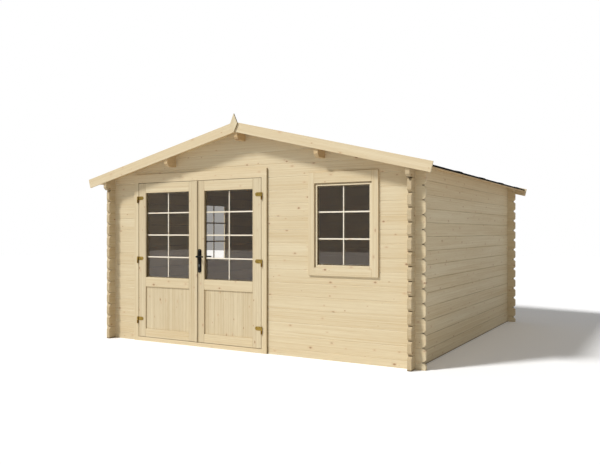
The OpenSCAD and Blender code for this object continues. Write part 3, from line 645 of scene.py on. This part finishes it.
def glazing(name, sheet, columns, rows, spread, seal_d, body, axes=(X, Y),
            room_bars=(UPRIGHT_BAR_W, LEVEL_BAR_W)):
    """Bars on both faces of a sheet of glass: upright ones run through, level ones stop at them and are
    flatter outside. Room bars are the widths on the room's side. Spread makes the top and bottom panes
    shorter by that much than those between. A brown rubber seal, as deep as given, lies round the sheet
    outside and stands in for the shade in the rebate there, and beads hold it on the room's side, which
    is + along the depth."""
    a0, a1 = sheet[:, axes[0]]
    z0, z1 = sheet[:, Z]
    upright = bar_middles(a0, a1, columns, UPRIGHT_BAR_W)
    level = bar_middles(z0 - spread, z1 + spread, rows, LEVEL_BAR_W)
    ups, levels = [], []
    for outside in (True, False):
        widths = (UPRIGHT_BAR_W, LEVEL_BAR_W) if outside else room_bars
        up_half, level_half = np.array(widths) / 2
        face = sheet[0 if outside else 1, axes[1]]
        room_d = (face, face + ROOM_BAR_T)
        up_d = (face - UPRIGHT_BAR_T, face) if outside else room_d
        level_d = (face - LEVEL_BAR_T, face) if outside else room_d
        rim_d = (face - seal_d, face) if outside else room_d
        rim = SEAL_W if outside else BEAD
        sides = np.repeat(upright, 2) + np.tile([-up_half, up_half], columns - 1)
        gaps = np.concatenate([[a0 + rim], sides, [a1 - rim]]).reshape(-1, 2)
        ups += [facing_box(*axes, (u - up_half, u + up_half), up_d, (z0 + rim, z1 - rim)) for u in upright]
        levels += [facing_box(*axes, gap, level_d, (z - level_half, z + level_half))
                   for z in level for gap in gaps]
        rim_ups = [facing_box(*axes, pair, rim_d, (z0, z1)) for pair in ((a0, a0 + rim), (a1 - rim, a1))]
        rim_levels = [facing_box(*axes, (a0 + rim, a1 - rim), rim_d, pair)
                      for pair in ((z0, z0 + rim), (z1 - rim, z1))]
        # Outside, the rim is the dark seal, which stands in for the shade in the rebate
        if outside:
            points, blocks = frame_boards(rim_ups, rim_levels, axes, BAR_EASE)[:2]
            piece(f"{name}_seal", points, blocks, rubber, body, "joinery_pine")
        else:
            ups += rim_ups
            levels += rim_levels
    timber(f"{name}_bars", frame_boards(ups, levels, axes, BAR_EASE), bar_wood, body, "joinery_pine")


# Door leaves

PANEL_BOARDS = 5
DOOR_PANES = (2, 4)
PANEL_EASE = 1.6 * MM
FRAME_EASE = 2 * MM
STRIP_EASE = 4 * MM
DOOR_SPREAD = 12 * MM
DOOR_SEAL_D = 12 * MM


def boards_across(box, count):
    """A box cut along X into that many upright or lying boards of equal width."""
    edges = np.linspace(*box[:, X], count + 1)
    return [[(a, *box[0, 1:]), (b, *box[1, 1:])] for a, b in zip(edges, edges[1:])]


def door_leaf(hand):
    """A leaf of two stiles, three rails, a panel of boards below and a glazed sheet above."""
    leaf, panel, pane = (span(f"{hand}_door_{part}") for part in ("leaf", "panel", "glass"))
    (x0, y0, z0), (x1, y1, z1) = leaf
    g0, g1 = pane[:, X]
    stiles = [[(x0, y0, z0), (g0, y1, z1)], [(g1, y0, z0), (x1, y1, z1)]]
    rails = [[(g0, y0, low), (g1, y1, high)] for low, high in
             ((z0, panel[0, Z]), (panel[1, Z], pane[0, Z]), (pane[1, Z], z1))]
    panel[:, X] = g0, g1
    body = f"{hand}_door"
    timber(f"{hand}_leaf_stiles", box_boards(stiles, Z, FRAME_EASE), leaf_wood, body, "joinery_pine",
           [f"{hand}_door_leaf"])
    timber(f"{hand}_leaf_rails", box_boards(rails, X, FRAME_EASE), casing_wood, body, "joinery_pine")
    timber(f"{hand}_leaf_boards", box_boards(boards_across(panel, PANEL_BOARDS), Z, PANEL_EASE), leaf_wood,
           body, "joinery_pine", [f"{hand}_door_panel"])
    glazing(f"{hand}_leaf", pane, *DOOR_PANES, DOOR_SPREAD, DOOR_SEAL_D, body)


door_leaf("left")
door_leaf("right")
timber("meeting_strip", box_boards([span("door_cover_strip")], Z, STRIP_EASE), leaf_wood, "left_door",
       "joinery_pine", ["door_cover_strip"])


# Windows

WINDOW_PANES = (2, 3)
REBATE = 14 * MM
REBATE_D = 20 * MM
WINDOW_SEAL_D = 7 * MM
WIDE_BARS = (24 * MM, 20 * MM)


def window(where, axes, sides, room_bars):
    """A window between two pieces of wall: casing boards on both faces of the wall and a lining in the
    hole, then the sash, whose face stands in from the casing by a rebate above and at its opening side."""
    casing, sash, pane = (span(f"{where}_window_{part}") for part in ("casing", "sash", "glass"))
    near, far = span(sides[0]), span(sides[1])
    wall = span(f"{where}_wall_lower")[:, axes[1]]
    hole = near[1, axes[0]], far[0, axes[0]]
    c, s, p = casing[:, axes[0]], sash[:, axes[0]], pane[:, axes[0]]
    ups, levels = [], []
    for d in ((casing[0, axes[1]], wall[0]), (wall[1], casing[1, axes[1]])):
        ups += [facing_box(*axes, pair, d, casing[:, Z]) for pair in ((c[0], s[0]), (s[1], c[1]))]
        levels += [facing_box(*axes, s, d, pair)
                   for pair in ((casing[0, Z], sash[0, Z]), (sash[1, Z], casing[1, Z]))]
    ups += [facing_box(*axes, pair, wall, near[:, Z]) for pair in ((hole[0], s[0]), (s[1], hole[1]))]
    levels += [facing_box(*axes, s, wall, pair)
               for pair in ((near[0, Z], sash[0, Z]), (sash[1, Z], near[1, Z]))]
    timber(f"{where}_casing_boards", frame_boards(ups, levels, axes, FRAME_EASE), casing_wood, "shed",
           "joinery_pine", [f"{where}_window_casing"])

    face, back = sash[:, axes[1]]
    ups, levels = [], []
    for d, rebate in (((face, face + REBATE_D), REBATE), ((face + REBATE_D, back), 0.0)):
        ups += [facing_box(*axes, pair, d, sash[:, Z] - [0, rebate])
                for pair in ((s[0] + rebate, p[0]), (p[1], s[1]))]
        levels += [facing_box(*axes, p, d, pair)
                   for pair in ((sash[0, Z], pane[0, Z]), (pane[1, Z], sash[1, Z] - rebate))]
    timber(f"{where}_sash_frame", frame_boards(ups, levels, axes, FRAME_EASE), sash_wood, "shed",
           "joinery_pine", [f"{where}_window_sash"])
    glazing(f"{where}_window", pane, *WINDOW_PANES, 0.0, WINDOW_SEAL_D, "shed", axes, room_bars)


window("front", (X, Y), ("front_wall_middle", "front_wall_right"), (UPRIGHT_BAR_W, LEVEL_BAR_W))
window("left", (Y, X), ("left_wall_front", "left_wall_rear"), WIDE_BARS)


# Roof boards

ROOF_BOARDS = 41
ROOF_BOARD_EASE = 3 * MM
ROOF_END_EASE = 1 * MM
roof = span("roof_boards_right")
ridge_z = span("ridge_purlin")[1, Z]
board_edge = roof[1, X] - ROOF_BOARD * math.sin(PITCH)
roof_sides = (("right", 1), ("left", -1))


def square_to_slope(sign):
    """The direction that points straight out of a slope of the roof."""
    return np.array([sign * math.sin(PITCH), 0, math.cos(PITCH)])


def roof_planks(hand, sign):
    """Boards from the ridge down to the eave, side by side along Y, with a plumb cut at the ridge."""
    edges = np.linspace(*roof[:, Y], ROOF_BOARDS + 1)
    middle = np.outer((edges[1:] + edges[:-1]) / 2, np.eye(3)[Y])
    down = np.array([sign * math.cos(PITCH), 0, -math.sin(PITCH)])
    normal = square_to_slope(sign)
    ridge = np.array([0, 0, ridge_z])
    start = middle + ridge + ROOF_BOARD / 2 * (normal - math.tan(PITCH) * down)
    stop = middle + ridge + ROOF_BOARD / 2 * normal + board_edge / math.cos(PITCH) * down
    half = np.tile([(edges[1] - edges[0]) / 2, ROOF_BOARD / 2], (ROOF_BOARDS, 1))
    across = np.tile([0.0, sign, 0.0], (ROOF_BOARDS, 1))
    shape = carried(eased_outline(half, ROOF_BOARD_EASE), start, stop, across, ROOF_END_EASE,
                    -math.tan(PITCH))
    timber(f"roof_planks_{hand}", shape, board_wood, "shed", "roof_spruce", [f"roof_boards_{hand}"])


for hand, sign in roof_sides:
    roof_planks(hand, sign)


# Felt

FELT = 5 * MM
LAP = 100 * MM
LAP_SLOPE = 25 * MM
STRIP_PITCH = 900 * MM
HEM = 12 * MM
HEM_RUN = 40 * MM
TURN_DOWN = 5 * MM


def on_slope(edge, up):
    """A point of the roof's right slope, from its distance to the ridge and its height above the
    boards' underside, square to the slope."""
    return [edge + up * math.sin(PITCH), ridge_z - edge * math.tan(PITCH) + up * math.cos(PITCH)]


def felt_strip(y0, y1, lapped):
    """A strip of felt over the ridge: a thin folded outline, with a thick hem at both eaves, carried from
    y0 to y1. Where it laps the strip before it, it is raised by that strip's thickness and then comes
    down."""
    top = ROOF_BOARD + FELT
    half = np.array([[0, ridge_z + top / math.cos(PITCH)],
                     on_slope(board_edge - HEM_RUN - HEM, top),
                     on_slope(board_edge - HEM_RUN, ROOF_BOARD + HEM),
                     on_slope(board_edge, ROOF_BOARD + HEM),
                     on_slope(board_edge + FELT / 2, ROOF_BOARD + 0.8 * HEM),
                     on_slope(board_edge + FELT, ROOF_BOARD + HEM / 2),
                     on_slope(board_edge + FELT, ROOF_BOARD - TURN_DOWN),
                     on_slope(board_edge, ROOF_BOARD - TURN_DOWN),
                     on_slope(board_edge, ROOF_BOARD),
                     [0, ridge_z + ROOF_BOARD / math.cos(PITCH)]])
    loop = np.concatenate([half, half[-2:0:-1] * [-1, 1]])
    stations = np.array([y0, y0 + LAP, y0 + LAP + LAP_SLOPE, y1])
    points = np.zeros((RINGS, len(loop), 3))
    points[..., X] = loop[:, 0]
    points[..., Y] = stations[:, None]
    points[..., Z] = loop[:, 1] + (FELT * lapped * np.array([1, 1, 0, 0]))[:, None]
    return points.reshape(-1, 3), tube_faces(1, len(loop))


roof_y0, roof_y1 = roof[:, Y]
strip_starts = np.arange(roof_y0, roof_y1 - LAP, STRIP_PITCH)
strips = [felt_strip(y0, min(y0 + STRIP_PITCH + LAP, roof_y1), min(k, 1))
          for k, y0 in enumerate(strip_starts)]
piece("felt_strips", *merged(strips), felt, "shed", "roofing_felt", ["roof_felt"])


# Floor

FLOOR_BOARDS = 32
floor_box = span("floor_boards")
timber("floor_planks", box_boards(boards_across(floor_box, FLOOR_BOARDS), Y, FRAME_EASE), floor_wood,
       "shed", "floor_spruce", ["floor_boards"])


# Nails, screws and the key cylinder

# A head's size is its radius and its height
FELT_NAIL = (5 * MM, 1.5 * MM)
FELT_NAIL_GAP = 90 * MM
FELT_NAIL_FIRST = 60 * MM
FELT_NAIL_LAST = 50 * MM
FLOOR_NAIL = (3.5 * MM, 1 * MM)
FLOOR_NAIL_SUNK = 0.4 * MM
FLOOR_NAIL_OFF = 35 * MM
BEARERS = 7
BEARER_HALF_W = 30 * MM
STRAP_SCREW = (4.5 * MM, 1.8 * MM)
STRAP_SCREWS_IN = np.array([14, 34, 54]) * MM
STRAP_SCREWS_UP = np.array([0, 9, -9]) * MM
STRAP_T = 3 * MM
STRAP_HALF_H = 20 * MM
HINGES = 3
PLATE_SCREW = (4 * MM, 1.5 * MM)
PLATE_SCREW_IN = 17 * MM
PLATE_SCREW_SUNK = 0.3 * MM
LOCK_BELOW = 92 * MM
BARREL_R = 8.5 * MM
TAIL_R = 5 * MM
TAIL_MEETS = 54
TAIL_DROP = 19.5 * MM
BARREL_SUNK = 2 * MM
BARREL_L = 5 * MM
BARREL_EASE = 0.6 * MM


def grid(*axes):
    """Every combination of the given values of x, y and z, (n, 3)."""
    return np.stack(np.meshgrid(*axes, indexing="ij"), axis=-1).reshape(-1, 3)


def heads(name, centres, outward, size, material, body, slot):
    """Nail or screw heads at the centres, all facing outward."""
    outward = np.broadcast_to(np.asarray(outward, float), centres.shape)
    piece(name, *turned_heads(centres, outward, *size), material, body, slot)


# Felt nails, in a row down each lap
along_slope = np.arange(FELT_NAIL_FIRST, board_edge - FELT_NAIL_LAST, FELT_NAIL_GAP)
nail_up = ROOF_BOARD + 2 * FELT
for hand, sign in roof_sides:
    rows = grid(along_slope, strip_starts[1:] + LAP / 2, [0.0])
    nail_x, nail_z = on_slope(rows[:, X], nail_up)
    rows[:, X] = sign * nail_x
    rows[:, Z] = nail_z
    heads(f"felt_nails_{hand}", rows, square_to_slope(sign), FELT_NAIL, zinc, "shed", "black_iron")

# Floor nails, two in each board at each bearer
floor_edges = np.linspace(*floor_box[:, X], FLOOR_BOARDS + 1)
nail_x = ((floor_edges[1:] + floor_edges[:-1]) / 2)[:, None] + [-FLOOR_NAIL_OFF, FLOOR_NAIL_OFF]
bearers = span("floor_bearers")
bearer_y = np.linspace(bearers[0, Y] + BEARER_HALF_W, bearers[1, Y] - BEARER_HALF_W, BEARERS)
rows = grid(nail_x.ravel(), bearer_y, [floor_box[1, Z] - FLOOR_NAIL_SUNK])
heads("floor_nails", rows, (0, 0, 1), FLOOR_NAIL, zinc, "shed", "black_iron")

# Strap screws, three in each strap, the second above and the third below its middle
for hand, sign in (("left", 1), ("right", -1)):
    strap, leaf = span(f"{hand}_door_straps"), span(f"{hand}_door_leaf")
    tip = strap[(sign + 1) // 2, X]
    level = np.linspace(strap[0, Z] + STRAP_HALF_H, strap[1, Z] - STRAP_HALF_H, HINGES)
    rows = grid(tip - sign * STRAP_SCREWS_IN, [leaf[0, Y] - STRAP_T], level)
    rows[:, Z] += np.repeat(STRAP_SCREWS_UP, HINGES)
    heads(f"{hand}_strap_screws", rows, (0, -1, 0), STRAP_SCREW, brass, f"{hand}_door", "brass_hinges")

# Plate screws, near both ends of each plate
plates = span("handle_plates")
plate_x = plates[:, X].mean()
screw_z = plates[:, Z] + [PLATE_SCREW_IN, -PLATE_SCREW_IN]
for name, face, outward in (("outer", plates[0, Y], -1), ("inner", plates[1, Y], 1)):
    rows = grid([plate_x], [face - outward * PLATE_SCREW_SUNK], screw_z)
    heads(f"{name}_plate_screws", rows, (0, outward, 0), PLATE_SCREW, zinc, "right_door", "black_iron")

# Key cylinder: a round barrel with a narrower round tail below it, on both plates. The tail meets the
# barrel that many degrees below level, on either side.
big = np.radians(np.linspace(-TAIL_MEETS, 180 + TAIL_MEETS, 17))
small = np.radians(np.linspace(180, 360, 9))
barrel = BARREL_R * np.stack([np.cos(big), np.sin(big)], axis=1)
tail = TAIL_R * np.stack([np.cos(small), np.sin(small)], axis=1) - [0, TAIL_DROP]
keyway = np.concatenate([barrel, tail])
lock_z = span("handle_lever")[:, Z].mean() - LOCK_BELOW
outward = np.array([[0, -1, 0], [0, 1, 0]])
start = np.array([[plate_x, y, lock_z] for y in plates[:, Y]]) - BARREL_SUNK * outward
across = np.array([[1.0, 0, 0], [-1.0, 0, 0]])
cylinder = carried(np.stack([keyway, keyway]), start, start + BARREL_L * outward, across, BARREL_EASE)
piece("key_cylinder", *cylinder[:2], zinc, "right_door", "black_iron")


# Stage: floor, sky, sun and camera

# Brightness of floor and sky as a share of white, and places in metres
FLOOR_PAINT = 0.85
FLOOR_SEEN = 1.10
FLOOR_THROUGH_GLASS = 1.2
FLOOR_HALF_W, FLOOR_NEAR, FLOOR_FAR = 27, -33.6, 29
FLOOR_Z = -0.5 * MM
HORIZON, ZENITH = 0.44, 0.26
BEHIND_GLASS = 0.39
SUN_POWER = 2.8
SUN_SPREAD = math.radians(9.5)
SUN_RISE = math.radians(44.5)
SUN_HEADING = (0.61, 0.79)
EYE = (4.000, -7.687, 1.260)
EYE_TURN = math.radians(29.8)
LENS_MM = 39.76
SENSOR_MM = 36


def white_floor():
    """A matt white floor. Camera, gloss and glass see it brighter, so that it meets the white background
    without an edge, and it keeps the shadow."""
    material, tree = new_material("white_floor_paint")
    path = add(tree, "ShaderNodeLightPath")
    seen = add(tree, "ShaderNodeMath", {0: path.outputs["Is Camera Ray"], 1: path.outputs["Is Glossy Ray"]},
               operation="MAXIMUM")
    level = add(tree, "ShaderNodeMapRange", {"Value": seen.outputs[0], "To Min": FLOOR_PAINT,
                "To Max": FLOOR_SEEN})
    level = add(tree, "ShaderNodeMapRange", {"Value": path.outputs["Is Transmission Ray"],
                "To Min": level.outputs[0], "To Max": FLOOR_THROUGH_GLASS})
    paint = add(tree, "ShaderNodeBsdfDiffuse", {"Color": level.outputs[0]})
    add(tree, "ShaderNodeOutputMaterial", {"Surface": paint.outputs[0]})
    return material


def studio_sky():
    """A soft sky, brighter at the horizon. Gloss and glass see it even, and the camera sees it white."""
    world = bpy.data.worlds.new("studio_sky")
    world.use_nodes = True
    sky = world.node_tree
    sky.nodes.clear()
    coords = add(sky, "ShaderNodeTexCoord")
    up = add(sky, "ShaderNodeSeparateXYZ", {0: coords.outputs["Generated"]})
    glow = add(sky, "ShaderNodeMapRange", {"Value": up.outputs["Z"], "To Min": HORIZON, "To Max": ZENITH})
    path = add(sky, "ShaderNodeLightPath")
    mirrored = add(sky, "ShaderNodeMath", {0: path.outputs["Is Glossy Ray"],
                   1: path.outputs["Is Transmission Ray"]}, operation="MAXIMUM")
    level = add(sky, "ShaderNodeMapRange", {"Value": mirrored.outputs[0], "To Min": glow.outputs[0],
                "To Max": BEHIND_GLASS})
    level = add(sky, "ShaderNodeMapRange", {"Value": path.outputs["Is Camera Ray"],
                "To Min": level.outputs[0], "To Max": 1.0})
    backdrop = add(sky, "ShaderNodeBackground", {"Color": (1, 1, 1, 1), "Strength": level.outputs[0]})
    add(sky, "ShaderNodeOutputWorld", {"Surface": backdrop.outputs[0]})
    return world


scene = bpy.context.scene
scene.world = studio_sky()

mesh = bpy.data.meshes.new("studio_floor")
floor_corners = [[-FLOOR_HALF_W, FLOOR_NEAR, FLOOR_Z], [FLOOR_HALF_W, FLOOR_NEAR, FLOOR_Z],
                 [FLOOR_HALF_W, FLOOR_FAR, FLOOR_Z], [-FLOOR_HALF_W, FLOOR_FAR, FLOOR_Z]]
mesh.from_pydata(floor_corners, [], [[0, 1, 2, 3]])
mesh.materials.append(white_floor())
studio_floor = bpy.data.objects.new("studio_floor", mesh)
scene.collection.objects.link(studio_floor)

lamp = bpy.data.lights.new("sun", "SUN")
lamp.energy = SUN_POWER
lamp.angle = SUN_SPREAD
sun = bpy.data.objects.new("sun", lamp)
scene.collection.objects.link(sun)
travel = Vector((*(side * math.cos(SUN_RISE) for side in SUN_HEADING), -math.sin(SUN_RISE)))
sun.rotation_euler = travel.to_track_quat("-Z", "Y").to_euler()

lens = bpy.data.cameras.new("camera")
lens.lens = LENS_MM
lens.sensor_width = SENSOR_MM
camera = bpy.data.objects.new("camera", lens)
camera.location = EYE
camera.rotation_euler = (math.radians(90), 0, EYE_TURN)
scene.collection.objects.link(camera)
scene.camera = camera
scene.view_settings.view_transform = "Standard"
